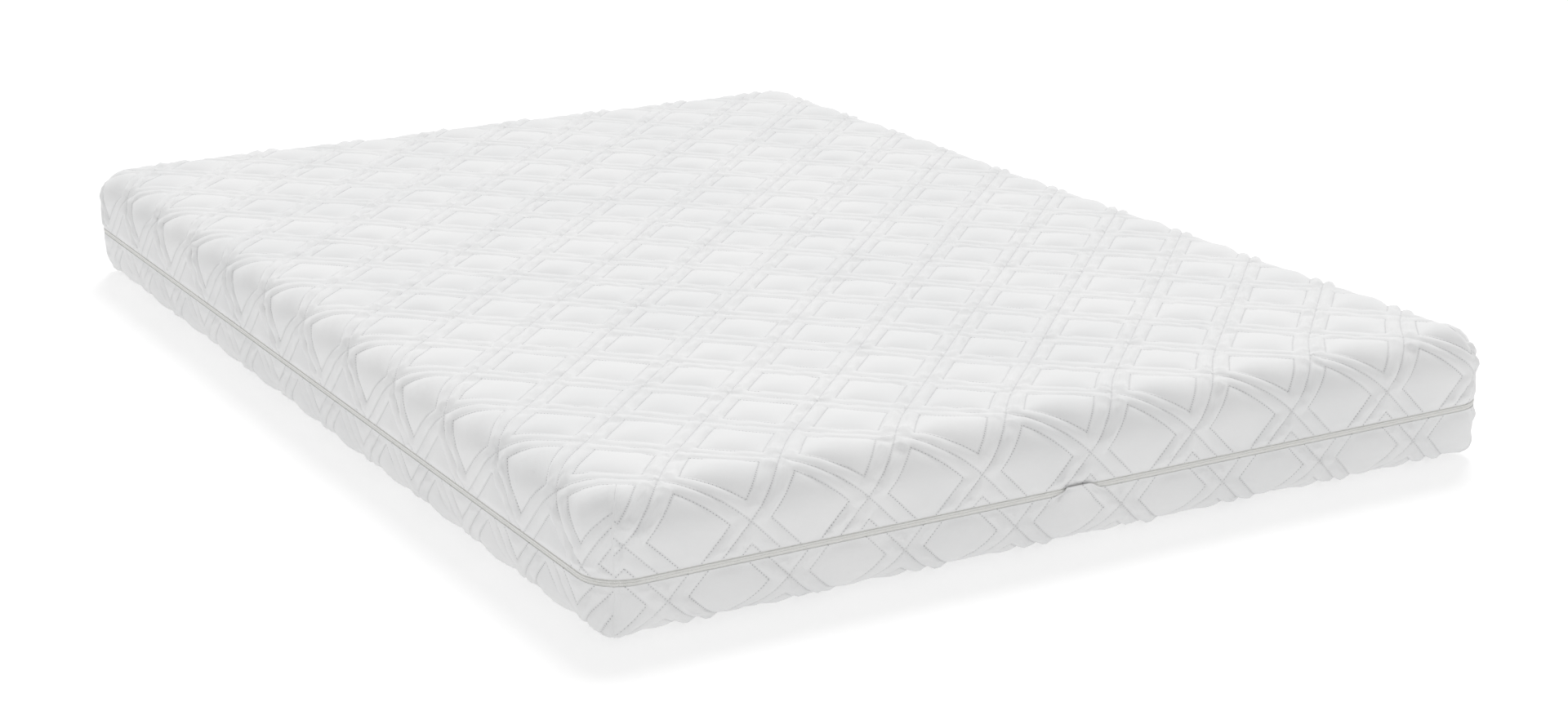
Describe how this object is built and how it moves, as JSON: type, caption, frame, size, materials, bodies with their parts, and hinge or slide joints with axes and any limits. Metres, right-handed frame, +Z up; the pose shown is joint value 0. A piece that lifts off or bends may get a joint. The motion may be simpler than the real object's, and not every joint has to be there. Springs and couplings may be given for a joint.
{
  "type": "memory foam mattress",
  "caption": "White quilted memory foam mattress with rounded edges; its cover unzips all round into an upper and a lower half around a layered foam core.",
  "frame": {"origin": "on the floor, under the middle of the mattress", "axes": "+X across the width, +Y along the length towards the head end, +Z up; the zip slider is parked at the middle of the foot end, on the -Y side"},
  "size_m": [1.4, 2, 0.19],
  "materials": {
    "cover_fabric": "matte",
    "wadding": "matte",
    "lining": "matte",
    "thread": "matte",
    "zip_tape": "matte",
    "zip_coil": "satin",
    "zip_metal": "satin",
    "label": "satin",
    "memory_foam": "matte",
    "support_foam": "matte"
  },
  "bodies": {
    "bottom_cover": {"bottom_cover_fabric": "cover_fabric", "bottom_cover_wadding": "wadding", "bottom_cover_lining": "lining", "bottom_cover_corner_seams": "thread", "zip_tape_lower": "zip_tape", "zip_coil_lower": "zip_coil", "zip_stop_lower": "zip_metal", "zip_garage": "cover_fabric", "care_label": "label"},
    "foam_core": {"memory_foam_layer": "memory_foam", "support_foam_core": "support_foam"},
    "top_cover": {"top_cover_fabric": "cover_fabric", "top_cover_wadding": "wadding", "top_cover_lining": "lining", "top_cover_corner_seams": "thread", "zip_tape_upper": "zip_tape", "zip_coil_upper": "zip_coil", "zip_stop_upper": "zip_metal"},
    "slider": {"zip_slider": "zip_metal"}
  },
  "joints": [
    {"name": "core_lift", "type": "slide", "parent": "bottom_cover", "child": "foam_core", "axis": [0, 0, 1], "range_m": [0, 0.15]},
    {"name": "cover_lift", "type": "slide", "parent": "foam_core", "child": "top_cover", "axis": [0, 0, 1], "range_m": [0, 0.25]},
    {"name": "slider_slide", "type": "slide", "parent": "bottom_cover", "child": "slider", "axis": [1, 0, 0], "range_m": [0, 0.64], "deforming": ["zip_coil_upper", "zip_coil_lower"]}
  ]
}
